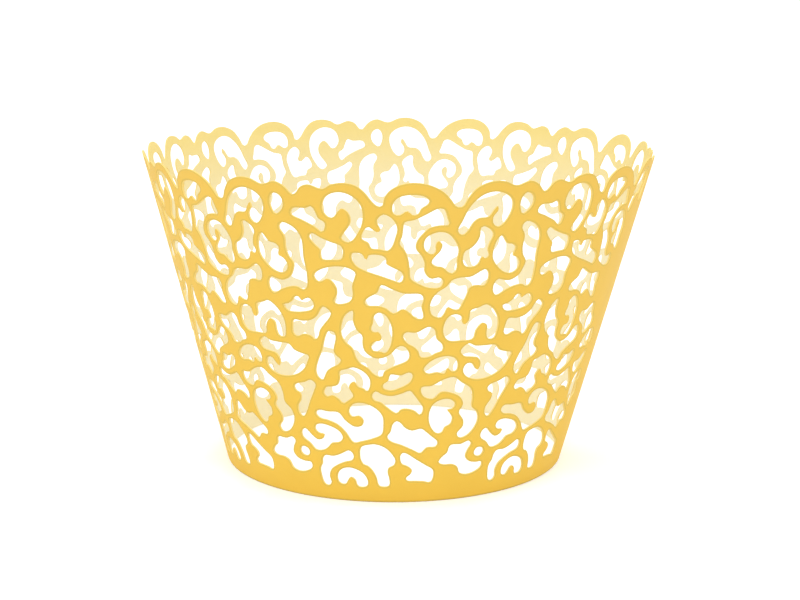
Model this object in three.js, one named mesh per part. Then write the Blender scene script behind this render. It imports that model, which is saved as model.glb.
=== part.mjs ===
// Cupcake wrapper: one strip of yellow card with a cut-out scroll ornament and a scalloped rim,
// rolled into an open cup and closed by a tongue in a slit.
// Millimetres, Z up. The base edge stands on z = 0, the rim is centred on the Z axis
// and the front looks along -Y.

import * as THREE from 'three';

// Driving dimensions

const TOP_DIAMETER = 80;
const BASE_DIAMETER = 53.3;
const HEIGHT = 46.2;
const CARD = 0.3;

// The rim lies a little to the right of the base, and the cup is deeper than it is wide:
// this share is added to the depth and taken from the width.
const LEAN = 0.8;
const OVAL = 0.06;

// The repeats of the ornament reach round this many degrees; the lap closes the rest of the turn.
const REPEATS = 7;
const ORNAMENT_TURN = 350.2;

// The front arch of the rim stands a little to the right of the middle.
const FRONT_ARCH_ANGLE = 3.22;
const FRONT_ARCH_X = 3.6;

// Lap: the outer end lies over the inner end, and its tongue dips through the slit in the inner end.
// These are measured on the flat drawing, x from the start of the outer end's repeat.
const OUTER_END = 18.4;
const INNER_END = 11.2;
const INNER_PANEL_EDGE = 18.0;
const INNER_RIM_START = 16.6;
const FOLD_STEP = 2.4;
const PANEL_BELOW_SCROLL = 1.6;
const PANEL_MARGIN = 0.5;
const INNER_PANEL_DROP = 1.5;
const TONGUE_DROP = 3.6;
const TONGUE_WIDTH = 7.8;
const TONGUE_DIP = 1.1;
const TONGUE_LENGTH = 5.2;
const TONGUE_CORNER = 1.1;
const SLIT_CLEARANCE = 0.5;
const SLIT_MARGIN = 1.2;
const LAP_RUN_OUT = 7;
const LAP_GAP = 0.15;

// Fineness of the outlines
const OUTLINE_ERROR = 0.378;
const STEPS_PER_KNOT = 10;
const BASE_STEPS_PER_REPEAT = 6;

// One repeat of the ornament, drawn flat
// x runs round the strip and y up its slant; the knots of each outline lie on a smooth curve.
// The drawing is nearly life-size and stretches to the real sheet when it is rolled.
// The last knot of the rim is the first one of the next repeat.

const RIM = [
  [0.0, 46.0], [0.25, 47.2], [0.9, 48.25], [2.0, 49.0], [3.4, 49.25], [5.0, 48.9], [6.4, 48.0],
  [7.3, 46.9], [8.05, 45.75], [8.65, 45.7], [9.3, 47.1], [10.2, 48.4], [11.7, 49.15], [13.2, 49.1],
  [14.7, 48.4], [16.3, 48.95], [17.4, 48.4], [18.4, 47.2], [18.8, 47.5], [19.4, 48.4], [20.3, 48.75],
  [21.85, 48.2], [22.8, 48.85], [24.2, 49.15], [25.5, 48.8], [26.4, 47.9], [27.4, 46.3], [27.95, 45.85],
  [28.27, 46.0],
];

const OPENINGS = {
  lens: [
    [1.15, 45.2], [1.2, 46.3], [1.8, 47.15], [3.0, 47.5], [4.4, 47.3], [5.0, 46.7], [4.85, 46.15],
    [4.2, 45.6], [3.9, 44.85], [3.4, 44.6], [2.7, 45.25], [1.9, 44.65], [1.35, 44.75],
  ],
  comma: [
    [0.15, 44.7], [0.85, 44.35], [1.4, 43.55], [1.65, 42.6], [1.45, 41.4], [1.05, 40.0], [0.6, 39.5],
    [-0.3, 39.7], [-1.2, 39.8], [-1.5, 40.6], [-2.25, 41.15], [-2.1, 42.1], [-1.55, 42.9], [-1.0, 42.45],
    [-0.45, 42.1], [-0.15, 42.5], [-0.45, 43.3], [-0.5, 44.0],
  ],
  stem: [
    [2.5, 43.6], [3.5, 43.9], [4.6, 44.55], [6.1, 45.5], [6.65, 45.4], [7.1, 44.1], [7.3, 43.15],
    [6.3, 43.1], [5.2, 42.75], [4.4, 41.8], [3.85, 40.8], [3.8, 39.7], [4.5, 38.6], [4.85, 37.5],
    [4.85, 36.5], [5.2, 35.7], [5.75, 35.25], [6.7, 35.4], [7.15, 34.9], [6.9, 34.0], [5.6, 33.95],
    [4.5, 34.45], [3.4, 35.3], [3.2, 36.8], [3.0, 38.2], [2.6, 39.5], [2.0, 40.5], [2.25, 41.6], [2.35, 42.7],
  ],
  ring: [
    [6.3, 42.1], [7.3, 41.85], [8.1, 40.9], [8.7, 39.4], [8.6, 38.0], [8.65, 36.6], [8.25, 36.0],
    [7.75, 36.2], [7.0, 36.95], [6.0, 37.2], [5.7, 37.8], [6.1, 38.6], [6.6, 39.3], [6.8, 40.3],
    [6.25, 40.85], [6.0, 40.2], [6.05, 39.3], [5.7, 38.9], [5.0, 39.35], [4.7, 40.3], [5.0, 41.4],
  ],
  scrollLeft: [
    [8.45, 42.2], [8.9, 43.7], [9.35, 45.1], [10.0, 46.3], [11.0, 47.3], [12.2, 47.65], [13.4, 47.3],
    [14.3, 46.4], [14.5, 45.3], [14.2, 43.9], [13.6, 42.85], [13.1, 42.55], [12.5, 43.1], [12.4, 44.0],
    [12.9, 45.0], [12.7, 45.6], [12.3, 45.0], [11.8, 44.1], [10.7, 43.95], [10.1, 43.4], [9.5, 42.1],
    [9.0, 41.6],
  ],
  oval: [
    [16.1, 47.25], [16.8, 46.9], [17.1, 45.9], [16.8, 44.9], [16.0, 44.2], [15.6, 45.0], [15.5, 46.0],
    [15.7, 46.8],
  ],
  bone: [
    [11.4, 42.7], [12.3, 42.1], [12.65, 41.4], [12.3, 40.2], [12.2, 39.2], [12.45, 38.4], [12.1, 37.95],
    [11.65, 38.3], [11.2, 37.2], [10.7, 36.85], [9.8, 36.95], [9.4, 37.6], [9.5, 39.1], [10.2, 39.6],
    [10.8, 40.4], [11.1, 41.4], [11.1, 42.5],
  ],
  eye: [
    [13.75, 41.2], [13.3, 40.6], [13.0, 39.2], [13.05, 38.0], [13.7, 36.8], [14.8, 35.75], [15.8, 35.5],
    [16.5, 36.0], [16.65, 36.9], [16.2, 37.75], [15.6, 38.1], [15.8, 39.3], [15.3, 39.8], [14.6, 39.95],
    [14.15, 40.6],
  ],
  stalk: [
    [16.7, 43.0], [16.25, 42.3], [16.8, 41.0], [16.8, 39.2], [17.05, 38.1], [17.6, 37.1], [17.4, 36.0],
    [16.9, 35.0], [15.8, 34.35], [14.8, 34.5], [14.2, 34.7], [13.75, 34.1], [13.7, 33.0], [14.2, 32.3],
    [15.4, 33.0], [16.6, 33.5], [17.7, 33.6], [18.4, 33.2], [18.9, 33.6], [19.1, 35.6], [18.9, 38.0],
    [18.9, 40.6], [18.6, 41.6], [17.9, 42.5],
  ],
  wedge: [
    [18.3, 45.2], [19.8, 45.3], [20.45, 45.6], [20.85, 44.8], [21.15, 43.9], [21.85, 43.3], [21.5, 42.0],
    [20.6, 42.75], [19.2, 43.6], [18.0, 44.3],
  ],
  scrollRight: [
    [21.75, 45.5], [22.1, 46.9], [22.9, 47.6], [24.0, 47.75], [25.1, 47.2], [25.9, 46.1], [26.15, 44.6],
    [25.95, 43.0], [25.4, 41.7], [24.9, 40.9], [24.4, 40.6], [23.7, 41.1], [24.0, 41.9], [24.6, 42.9],
    [24.85, 43.8], [24.6, 44.9], [23.9, 45.5], [23.4, 45.0], [22.9, 44.2], [22.5, 44.1], [21.95, 44.7],
  ],
  flag: [
    [20.25, 41.7], [21.2, 41.1], [22.4, 40.5], [23.6, 39.95], [23.75, 38.9], [23.5, 38.1], [22.4, 37.95],
    [21.3, 37.95], [21.1, 38.6], [21.15, 39.3], [20.5, 40.1], [19.9, 41.2],
  ],
  boomerang: [
    [-3.4, 39.0], [-2.3, 38.9], [-2.0, 38.2], [-1.7, 38.15], [-1.5, 38.75], [0.0, 38.7], [0.45, 38.2],
    [0.45, 37.55], [1.3, 36.9], [2.25, 36.25], [2.45, 35.5], [2.15, 34.8], [1.2, 35.15], [-0.2, 35.75],
    [-2.0, 36.5], [-3.1, 37.3], [-3.5, 38.4],
  ],
  crook: [
    [20.05, 35.4], [20.5, 34.6], [21.0, 34.7], [21.6, 35.1], [22.1, 34.9], [22.75, 33.8], [22.75, 32.7],
    [22.35, 31.7], [22.7, 31.35], [24.2, 31.75], [24.65, 32.6], [24.65, 34.2], [24.95, 35.3], [25.1, 36.1],
    [24.3, 36.75], [22.9, 36.95], [21.4, 36.6], [20.4, 36.0],
  ],
  starHigh: [
    [-0.1, 34.35], [1.2, 33.7], [2.6, 33.1], [4.6, 32.95], [4.95, 32.3], [4.75, 31.1], [5.0, 30.0],
    [5.0, 29.3], [4.2, 29.4], [3.4, 30.2], [2.5, 30.8], [1.4, 30.15], [0.4, 30.95], [-0.5, 31.25],
    [-1.8, 31.3], [-2.1, 31.8], [-1.6, 32.5], [-0.6, 33.2],
  ],
  boot: [
    [5.85, 31.0], [6.1, 32.3], [6.8, 33.3], [7.7, 34.0], [8.3, 34.9], [9.2, 35.25], [10.5, 35.3],
    [11.3, 35.75], [12.2, 36.35], [12.7, 35.8], [12.7, 34.5], [12.3, 33.9], [11.5, 34.05], [10.6, 33.8],
    [10.2, 32.5], [9.7, 31.1], [9.4, 30.5], [8.7, 30.6], [8.05, 30.95], [7.6, 29.9], [7.2, 29.4], [6.2, 29.8],
  ],
  kidney: [
    [15.4, 30.6], [15.9, 29.8], [17.0, 29.7], [18.3, 29.9], [19.3, 30.3], [19.6, 31.1], [19.1, 31.95],
    [18.5, 31.8], [18.0, 31.45], [17.7, 32.0], [17.2, 32.05], [16.8, 31.4], [16.1, 30.85],
  ],
  spoon: [
    [-0.45, 30.2], [-1.0, 29.7], [-1.15, 28.6], [-1.4, 27.7], [-1.1, 27.25], [-0.5, 27.3], [-0.1, 26.6],
    [-0.25, 25.9], [-0.9, 25.8], [-1.4, 25.1], [-1.2, 24.4], [-0.3, 24.3], [0.35, 24.1], [0.9, 24.9],
    [1.2, 26.3], [1.15, 28.0], [0.65, 29.4], [0.1, 30.05],
  ],
  sickle: [
    [-3.7, 30.4], [-4.6, 29.7], [-5.15, 28.3], [-5.25, 26.7], [-4.8, 25.6], [-3.9, 24.7], [-3.45, 23.2],
    [-2.9, 22.35], [-1.9, 21.65], [-1.2, 20.8], [-0.1, 20.35], [0.25, 21.2], [1.4, 21.95], [3.3, 22.95],
    [3.5, 23.8], [2.9, 24.95], [2.2, 25.1], [1.0, 23.8], [-0.2, 23.2], [-1.1, 23.25], [-2.3, 24.2],
    [-2.6, 25.4], [-2.6, 26.6], [-3.3, 27.5], [-3.7, 28.8],
  ],
  starMiddle: [
    [2.65, 26.7], [3.0, 27.2], [4.3, 27.15], [5.9, 28.0], [6.6, 27.5], [6.95, 26.1], [7.75, 25.2],
    [7.8, 24.3], [6.9, 23.9], [6.2, 23.45], [5.05, 23.4], [4.7, 24.3], [4.1, 25.0], [3.2, 25.6],
  ],
  crown: [
    [13.0, 30.95], [12.2, 30.6], [11.1, 30.2], [11.05, 29.4], [10.95, 28.6], [10.4, 28.1], [10.05, 28.6],
    [9.9, 29.4], [9.1, 29.75], [8.3, 29.4], [7.8, 28.2], [7.85, 26.8], [8.6, 25.8], [10.2, 25.7],
    [11.8, 25.85], [12.1, 27.2], [12.9, 28.2], [13.6, 27.8], [13.7, 26.5], [14.0, 25.7], [14.8, 25.65],
    [15.1, 26.6], [15.1, 28.2], [14.6, 29.5], [13.8, 30.5],
  ],
  sail: [
    [20.85, 30.8], [21.75, 30.0], [21.5, 29.2], [20.7, 28.1], [20.1, 27.2], [19.8, 26.2], [19.35, 25.7],
    [18.8, 26.2], [17.8, 26.4], [16.8, 25.95], [16.3, 26.3], [16.35, 27.7], [16.6, 28.45], [17.8, 28.35],
    [19.0, 28.6], [19.9, 29.3], [20.5, 30.4],
  ],
  feather: [
    [21.3, 27.1], [22.0, 26.95], [22.15, 26.2], [21.75, 24.1], [22.0, 23.45], [22.65, 22.8], [22.3, 22.1],
    [21.3, 21.5], [20.6, 20.9], [20.15, 20.0], [19.8, 19.4], [19.2, 19.9], [19.0, 20.8], [19.5, 22.5],
    [20.2, 24.1], [20.8, 26.2],
  ],
  wave: [
    [11.4, 25.15], [12.3, 24.7], [13.7, 24.6], [15.3, 24.5], [16.0, 23.7], [17.2, 23.25], [18.1, 23.0],
    [17.8, 22.1], [17.2, 21.0], [16.1, 20.05], [14.6, 19.5], [13.0, 19.45], [11.6, 20.05], [11.05, 21.0],
    [11.4, 21.95], [12.1, 22.0], [12.7, 21.2], [13.15, 20.85], [13.5, 21.7], [13.0, 22.8], [12.0, 23.05],
    [10.95, 23.25], [10.4, 24.1],
  ],
  bean: [
    [5.55, 21.4], [6.1, 22.35], [7.2, 23.1], [8.6, 23.35], [9.7, 22.95], [10.15, 22.0], [10.05, 21.1],
    [9.5, 20.95], [8.75, 21.55], [8.4, 20.7], [7.4, 20.95], [6.1, 20.8],
  ],
  pebble: [
    [1.1, 20.7], [2.5, 20.55], [3.6, 21.0], [4.05, 20.6], [3.7, 19.5], [2.6, 18.75], [1.1, 18.25],
    [0.1, 18.6], [0.15, 19.15], [0.8, 19.7], [0.95, 20.4],
  ],
  hound: [
    [24.4, 21.65], [23.3, 21.3], [22.45, 20.95], [22.4, 19.9], [22.0, 18.8], [21.2, 18.45], [20.3, 18.3],
    [19.85, 17.3], [20.3, 16.85], [21.1, 17.1], [22.0, 16.6], [22.6, 15.95], [23.2, 16.3], [24.1, 17.2],
    [23.8, 17.9], [23.55, 18.5], [23.9, 19.25], [24.4, 19.45], [24.9, 18.7], [25.7, 18.4], [26.1, 18.0],
    [26.5, 18.8], [26.5, 19.9], [25.8, 20.95],
  ],
  leaf: [
    [18.0, 19.2], [17.0, 18.75], [15.5, 18.25], [15.2, 17.8], [15.5, 17.25], [16.1, 16.9], [16.05, 15.9],
    [15.4, 14.8], [15.45, 13.7], [16.0, 13.2], [16.7, 14.1], [17.4, 15.7], [18.3, 17.6], [18.65, 18.6],
  ],
  arch: [
    [5.4, 18.6], [6.8, 18.8], [8.3, 19.65], [9.8, 20.0], [11.0, 19.1], [12.5, 18.0], [12.95, 16.6],
    [13.05, 15.1], [14.0, 14.1], [14.35, 12.9], [13.9, 11.5], [12.9, 10.45], [11.8, 10.2], [11.3, 10.9],
    [12.1, 12.0], [12.05, 13.0], [11.2, 14.4], [11.7, 15.5], [11.2, 16.7], [9.9, 17.5], [8.2, 17.8],
    [7.1, 16.8], [6.0, 17.05], [5.5, 17.6],
  ],
  starLow: [
    [-0.95, 18.0], [-1.45, 17.3], [-1.15, 16.65], [-0.3, 16.35], [0.6, 15.6], [1.5, 14.85], [2.05, 14.6],
    [2.6, 15.2], [3.5, 15.3], [4.6, 14.95], [5.4, 14.3], [5.75, 15.3], [5.1, 16.4], [4.4, 17.4],
    [3.8, 18.1], [2.6, 17.65], [1.2, 17.3], [-0.1, 17.55],
  ],
  ringLow: [
    [8.4, 16.55], [9.6, 16.5], [10.4, 15.8], [10.2, 15.1], [9.35, 14.85], [9.75, 14.3], [10.2, 13.6],
    [10.05, 12.6], [9.2, 12.1], [8.85, 11.3], [8.1, 11.2], [7.3, 12.0], [6.8, 13.2], [6.75, 14.5],
    [7.2, 15.8],
  ],
  volute: [
    [25.0, 16.1], [26.3, 15.85], [27.6, 15.0], [28.25, 14.0], [28.35, 12.8], [28.1, 11.2], [26.8, 10.5],
    [25.0, 9.95], [23.9, 9.7], [23.4, 10.2], [22.8, 11.2], [21.6, 12.4], [20.2, 13.0], [18.8, 13.3],
    [18.25, 13.9], [18.6, 14.5], [20.2, 14.4], [21.8, 14.35], [22.7, 13.2], [24.1, 12.25], [25.2, 12.45],
    [25.5, 13.3], [24.9, 14.05], [23.8, 13.9], [23.4, 14.7], [24.0, 15.8],
  ],
  kite: [
    [2.05, 13.3], [1.5, 12.8], [1.2, 11.6], [0.7, 10.75], [1.2, 10.1], [2.9, 9.45], [4.6, 8.65],
    [5.8, 8.1], [6.7, 8.95], [8.1, 9.05], [8.35, 9.7], [7.2, 10.8], [6.4, 11.5], [5.7, 12.0],
    [4.3, 11.75], [3.3, 12.2], [2.6, 13.0],
  ],
  snail: [
    [16.05, 11.25], [15.4, 10.7], [15.45, 9.85], [16.6, 9.0], [17.6, 8.0], [18.9, 8.15], [19.7, 8.7],
    [20.3, 9.35], [21.6, 9.65], [22.15, 10.4], [21.6, 11.4], [20.3, 12.05], [18.9, 12.3], [18.0, 12.0],
    [17.85, 11.3], [18.4, 10.8], [19.2, 10.7], [19.0, 10.0], [18.1, 9.65], [17.2, 10.2],
  ],
  dot: [
    [15.4, 8.25], [16.1, 8.0], [16.3, 7.4], [15.9, 6.85], [15.2, 6.85], [14.75, 7.2], [14.7, 7.7],
    [15.0, 8.15],
  ],
  bird: [
    [10.6, 9.1], [12.2, 9.1], [13.4, 9.5], [13.9, 9.0], [13.4, 8.0], [13.2, 7.0], [13.9, 6.15],
    [15.2, 5.8], [16.3, 5.75], [16.4, 5.0], [15.4, 4.3], [13.8, 4.0], [12.6, 4.4], [12.1, 5.4],
    [11.2, 5.9], [9.6, 6.0], [8.85, 6.4], [9.3, 7.2], [10.1, 7.9], [10.3, 8.8],
  ],
  bell: [
    [-1.2, 9.5], [-2.4, 9.35], [-3.2, 9.05], [-3.45, 8.6], [-3.45, 7.0], [-3.0, 6.2], [-2.3, 5.95],
    [-1.5, 5.1], [-0.95, 4.0], [-0.75, 3.1], [-0.5, 2.7], [0.9, 2.7], [1.1, 3.1], [1.0, 4.0],
    [0.75, 5.0], [0.9, 5.7], [1.75, 6.2], [1.95, 6.9], [1.5, 7.8], [0.7, 8.7], [-0.1, 9.2],
  ],
  blade: [
    [3.1, 8.15], [2.75, 7.7], [3.0, 6.4], [3.9, 6.0], [4.65, 5.3], [4.5, 4.7], [3.75, 4.0],
    [3.95, 3.6], [5.2, 3.5], [6.6, 3.4], [7.7, 3.2], [8.05, 3.6], [8.05, 5.1], [6.6, 6.1], [4.9, 7.2],
    [3.7, 8.0],
  ],
  fin: [
    [22.9, 8.3], [22.2, 7.95], [21.2, 7.45], [20.3, 7.2], [19.0, 7.2], [18.5, 6.6], [18.4, 5.8],
    [17.95, 5.0], [18.0, 3.6], [18.4, 2.5], [19.1, 2.3], [19.6, 2.8], [19.4, 3.9], [19.8, 5.0],
    [20.7, 5.7], [22.1, 6.4], [23.4, 6.8], [23.7, 7.4], [23.4, 8.1],
  ],
  horseshoe: [
    [23.1, 5.5], [21.9, 5.3], [21.1, 4.7], [20.8, 3.9], [20.95, 3.1], [21.5, 2.75], [22.1, 2.8],
    [22.5, 3.4], [22.9, 3.95], [23.3, 3.95], [23.85, 3.5], [24.0, 2.9], [24.3, 2.5], [25.6, 2.6],
    [25.85, 3.2], [25.5, 4.2], [24.8, 4.9],
  ],
};

// The beginning of the arch, kept beside the plain outer end
const ARCH_START = [
  [5.4, 18.6], [6.8, 18.8], [8.3, 19.65], [9.4, 19.8], [9.3, 18.9], [8.2, 17.8], [7.1, 16.8],
  [6.0, 17.05], [5.5, 17.6],
];

// Sizes that follow from the driving ones

const BASE_RADIUS = BASE_DIAMETER / 2;
const TOP_RADIUS = TOP_DIAMETER / 2;
const SLANT = Math.hypot(HEIGHT, TOP_RADIUS - BASE_RADIUS);
const CARD_ACROSS = CARD * SLANT / HEIGHT;
const LAYER = CARD_ACROSS + LAP_GAP;
const REPEAT_ANGLE = ORNAMENT_TURN / REPEATS;

const DRAWN_REPEAT = RIM[RIM.length - 1][0] - RIM[0][0];
const DRAWN_SLANT = Math.max(...RIM.map(([, y]) => y));
const FULL_TURN = DRAWN_REPEAT * 360 / REPEAT_ANGLE;
const OUTER_START = DRAWN_REPEAT;
const INNER_START = OUTER_START - FULL_TURN;

const LAP_FOLDS = [INNER_END, INNER_END + FOLD_STEP, INNER_END + 2 * FOLD_STEP];
const OUTER_PANEL_HEIGHT = Math.min(...OPENINGS.scrollLeft.map(([, y]) => y)) - PANEL_BELOW_SCROLL;
const INNER_PANEL_HEIGHT = OUTER_PANEL_HEIGHT - INNER_PANEL_DROP;
const TONGUE_HIGH = OUTER_PANEL_HEIGHT - TONGUE_DROP;
const TONGUE_LOW = TONGUE_HIGH - TONGUE_WIDTH;

// Smooth outlines with few corners
// Corners are taken out one by one, always the one whose loss moves the outline least.

function away(p, a, b) {
  const side = b.clone().sub(a);
  const part = THREE.MathUtils.clamp(p.clone().sub(a).dot(side) / side.lengthSq(), 0, 1);
  return p.distanceTo(a.clone().addScaledVector(side, part));
}

function mainCorners(points, closed) {
  const kept = points.map((p, i) => i);
  const loss = (i) => {
    if (!closed && (i === 0 || i === kept.length - 1)) {
      return Infinity;
    }
    const from = kept[(i + kept.length - 1) % kept.length];
    const to = kept[(i + 1) % kept.length];
    let worst = 0;
    for (let k = (from + 1) % points.length; k !== to; k = (k + 1) % points.length) {
      worst = Math.max(worst, away(points[k], points[from], points[to]));
    }
    return worst;
  };
  const losses = kept.map((p, i) => loss(i));
  while (kept.length > 4 && Math.min(...losses) < OUTLINE_ERROR) {
    const i = losses.indexOf(Math.min(...losses));
    kept.splice(i, 1);
    losses.splice(i, 1);
    const before = (i + kept.length - 1) % kept.length;
    const after = i % kept.length;
    losses[before] = loss(before);
    losses[after] = loss(after);
  }
  return kept;
}

// A side lies along the middle of its stretch of the curve, not inside the bend.
function sideAlong(stretch) {
  const middle = new THREE.Vector2();
  stretch.forEach((p) => middle.addScaledVector(p, 1 / stretch.length));
  const spread = stretch.reduce(([xx, xy, yy], p) => {
    const dx = p.x - middle.x;
    const dy = p.y - middle.y;
    return [xx + dx * dx, xy + dx * dy, yy + dy * dy];
  }, [0, 0, 0]);
  const angle = Math.atan2(2 * spread[1], spread[0] - spread[2]) / 2;
  return { middle, along: new THREE.Vector2(Math.cos(angle), Math.sin(angle)) };
}

function meeting(one, other, corner) {
  const turn = one.along.cross(other.along);
  if (Math.abs(turn) < 0.15) {
    return corner;
  }
  const reach = other.middle.clone().sub(one.middle).cross(other.along) / turn;
  const met = one.middle.clone().addScaledVector(one.along, reach);
  return met.distanceTo(corner) < 1.3 * OUTLINE_ERROR ? met : corner;
}

function smooth(knots, closed) {
  const places = knots.map(([x, y]) => new THREE.Vector3(x, y, 0));
  const curve = new THREE.CatmullRomCurve3(places, closed, 'centripetal');
  const drawnPoints = curve.getSpacedPoints(knots.length * STEPS_PER_KNOT).map((p) => at(p.x, p.y));
  const points = closed ? drawnPoints.slice(0, -1) : drawnPoints;
  const kept = mainCorners(points, closed);
  const sides = kept.map((from, i) => {
    const to = kept[(i + 1) % kept.length];
    return sideAlong(to > from ? points.slice(from, to + 1) : [...points.slice(from), ...points.slice(0, to + 1)]);
  });
  return kept.map((k, i) => {
    if (!closed && (i === 0 || i === kept.length - 1)) {
      return points[k];
    }
    return meeting(sides[(i + sides.length - 1) % sides.length], sides[i], points[k]);
  });
}

function moved(points, dx) {
  return points.map((p) => new THREE.Vector2(p.x + dx, p.y));
}

function at(x, y) {
  return new THREE.Vector2(x, y);
}

// Openings of the whole strip

const drawn = Object.values(OPENINGS).map((knots) => smooth(knots, true));
const leftmost = (outline) => Math.min(...outline.map((p) => p.x));
const rightmost = (outline) => Math.max(...outline.map((p) => p.x));

// Slit in the inner end
const slitLeft = INNER_START + OUTER_END - 0.05;
const slitRight = INNER_START + OUTER_END + TONGUE_DIP + 0.05;
const openings = [[
  at(slitLeft, TONGUE_LOW - SLIT_CLEARANCE),
  at(slitRight, TONGUE_LOW - SLIT_CLEARANCE),
  at(slitRight, TONGUE_HIGH + SLIT_CLEARANCE),
  at(slitLeft, TONGUE_HIGH + SLIT_CLEARANCE),
]];

for (let cell = -REPEATS; cell <= 0; cell += 1) {
  drawn.map((outline) => moved(outline, cell * DRAWN_REPEAT))
    .filter((outline) => leftmost(outline) > slitRight + SLIT_MARGIN)
    .forEach((outline) => openings.push(outline));
}
drawn.filter((outline) => rightmost(outline) < INNER_END - PANEL_MARGIN)
  .forEach((outline) => openings.push(moved(outline, OUTER_START)));
openings.push(moved(smooth(OPENINGS.scrollLeft, true), OUTER_START));
openings.push(moved(smooth(ARCH_START, true), OUTER_START));

// Outline of the pierced part of the strip, from the inner end round to the outer end

const rimKnots = [];
for (let cell = -REPEATS; cell <= 1; cell += 1) {
  RIM.slice(0, -1).forEach(([x, y]) => {
    const place = x + cell * DRAWN_REPEAT;
    if (place >= INNER_START + INNER_RIM_START && place <= OUTER_START + OUTER_END + 0.01) {
      rimKnots.push([place, y]);
    }
  });
}
const rim = smooth(rimKnots, false).map((p) => at(p.x, Math.min(p.y, DRAWN_SLANT)));

const baseFrom = INNER_START + INNER_PANEL_EDGE;
const baseTo = OUTER_START + LAP_FOLDS[0];
const baseSteps = Math.round((baseTo - baseFrom) / DRAWN_REPEAT * BASE_STEPS_PER_REPEAT);
const strip = [];
for (let i = 0; i <= baseSteps; i += 1) {
  strip.push(at(baseFrom + (baseTo - baseFrom) * i / baseSteps, 0));
}
LAP_FOLDS.forEach((x) => strip.push(at(OUTER_START + x, OUTER_PANEL_HEIGHT)));
strip.push(at(OUTER_START + OUTER_END, OUTER_PANEL_HEIGHT));
strip.push(...rim.reverse());
strip.push(at(INNER_START + LAP_FOLDS[2], INNER_PANEL_HEIGHT));
strip.push(at(INNER_START + INNER_PANEL_EDGE, INNER_PANEL_HEIGHT));

// Plain ends, bent facet by facet so that the two layers of the lap run side by side

const tongueRoot = OUTER_START + OUTER_END;
const tongueBend = tongueRoot + TONGUE_DIP;
const tongueTip = tongueRoot + TONGUE_LENGTH;
const panels = [{ outline: strip, holes: openings }];

function plainPanel(left, right, height, extra = []) {
  panels.push({
    outline: [at(left, 0), at(right, 0), ...extra, at(right, height), at(left, height)],
    holes: [],
  });
}

LAP_FOLDS.forEach((fold, i) => {
  const lastPanel = i === LAP_FOLDS.length - 1;
  const root = [at(tongueRoot, TONGUE_LOW), at(tongueRoot, TONGUE_HIGH)];
  const outerRight = lastPanel ? OUTER_END : LAP_FOLDS[i + 1];
  const innerRight = lastPanel ? INNER_PANEL_EDGE : LAP_FOLDS[i + 1];
  plainPanel(OUTER_START + fold, OUTER_START + outerRight, OUTER_PANEL_HEIGHT, lastPanel ? root : []);
  plainPanel(INNER_START + fold, INNER_START + innerRight, INNER_PANEL_HEIGHT);
});

panels.push({
  outline: [
    at(tongueRoot, TONGUE_LOW),
    at(tongueBend, TONGUE_LOW),
    at(tongueBend, TONGUE_HIGH),
    at(tongueRoot, TONGUE_HIGH),
  ],
  holes: [],
});
panels.push({
  outline: [
    at(tongueBend, TONGUE_LOW),
    at(tongueTip - TONGUE_CORNER, TONGUE_LOW),
    at(tongueTip, TONGUE_LOW + TONGUE_CORNER),
    at(tongueTip, TONGUE_HIGH - TONGUE_CORNER),
    at(tongueTip - TONGUE_CORNER, TONGUE_HIGH),
    at(tongueBend, TONGUE_HIGH),
  ],
  holes: [],
});

// Facets of a flat panel, their diagonals turned until they are as compact as they can be

function facets(points, outline, holes) {
  const listed = [...outline, ...holes.flat()];
  const names = listed.map((p) => {
    const name = `${p.x.toFixed(4)} ${p.y.toFixed(4)}`;
    if (!points.has(name)) {
      points.set(name, { number: points.size, x: p.x, y: p.y });
    }
    return points.get(name);
  });
  const turn = (a, b, c) => (b.x - a.x) * (c.y - a.y) - (b.y - a.y) * (c.x - a.x);
  const found = THREE.ShapeUtils.triangulateShape(outline, holes).map((corners) => {
    const [a, b, c] = corners.map((i) => names[i]);
    return turn(a, b, c) > 0 ? [a, b, c] : [a, c, b];
  });

  const sides = new Map();
  const key = (a, b) => a.number * 100000 + b.number;
  found.forEach((facet, f) => {
    facet.forEach((corner, i) => sides.set(key(corner, facet[(i + 1) % 3]), f));
  });
  const inside = (a, b, c, d) => {
    const rows = [a, b, c].map((p) => [p.x - d.x, p.y - d.y, (p.x - d.x) ** 2 + (p.y - d.y) ** 2]);
    const [[ax, ay, aw], [bx, by, bw], [cx, cy, cw]] = rows;
    return ax * (by * cw - bw * cy) - ay * (bx * cw - bw * cx) + aw * (bx * cy - by * cx) > 1e-7;
  };
  let turned = true;
  for (let round = 0; turned && round < 200; round += 1) {
    turned = false;
    for (let f = 0; f < found.length; f += 1) {
      for (let i = 0; i < 3; i += 1) {
        const a = found[f][i];
        const b = found[f][(i + 1) % 3];
        const c = found[f][(i + 2) % 3];
        const g = sides.get(key(b, a));
        if (g === undefined) {
          continue;
        }
        const d = found[g].find((corner) => corner !== a && corner !== b);
        if (!inside(a, b, c, d) || turn(a, d, c) <= 1e-9 || turn(d, b, c) <= 1e-9) {
          continue;
        }
        sides.delete(key(a, b));
        sides.delete(key(b, a));
        found[f] = [a, d, c];
        found[g] = [d, b, c];
        [f, g].forEach((t) => {
          found[t].forEach((corner, j) => sides.set(key(corner, found[t][(j + 1) % 3]), t));
        });
        turned = true;
        break;
      }
    }
  }
  return found;
}

const points = new Map();
const skin = panels.flatMap(({ outline, holes }) => facets(points, outline, holes));

// Roll the flat card: the lap lies one layer in, the tongue two layers in

function depth(x) {
  const run = THREE.MathUtils.smoothstep(x, slitRight + 0.2, slitRight + LAP_RUN_OUT);
  const dip = THREE.MathUtils.clamp((x - tongueRoot) / TONGUE_DIP, 0, 1);
  return LAYER * (1 - run) + 2 * LAYER * dip;
}

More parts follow.
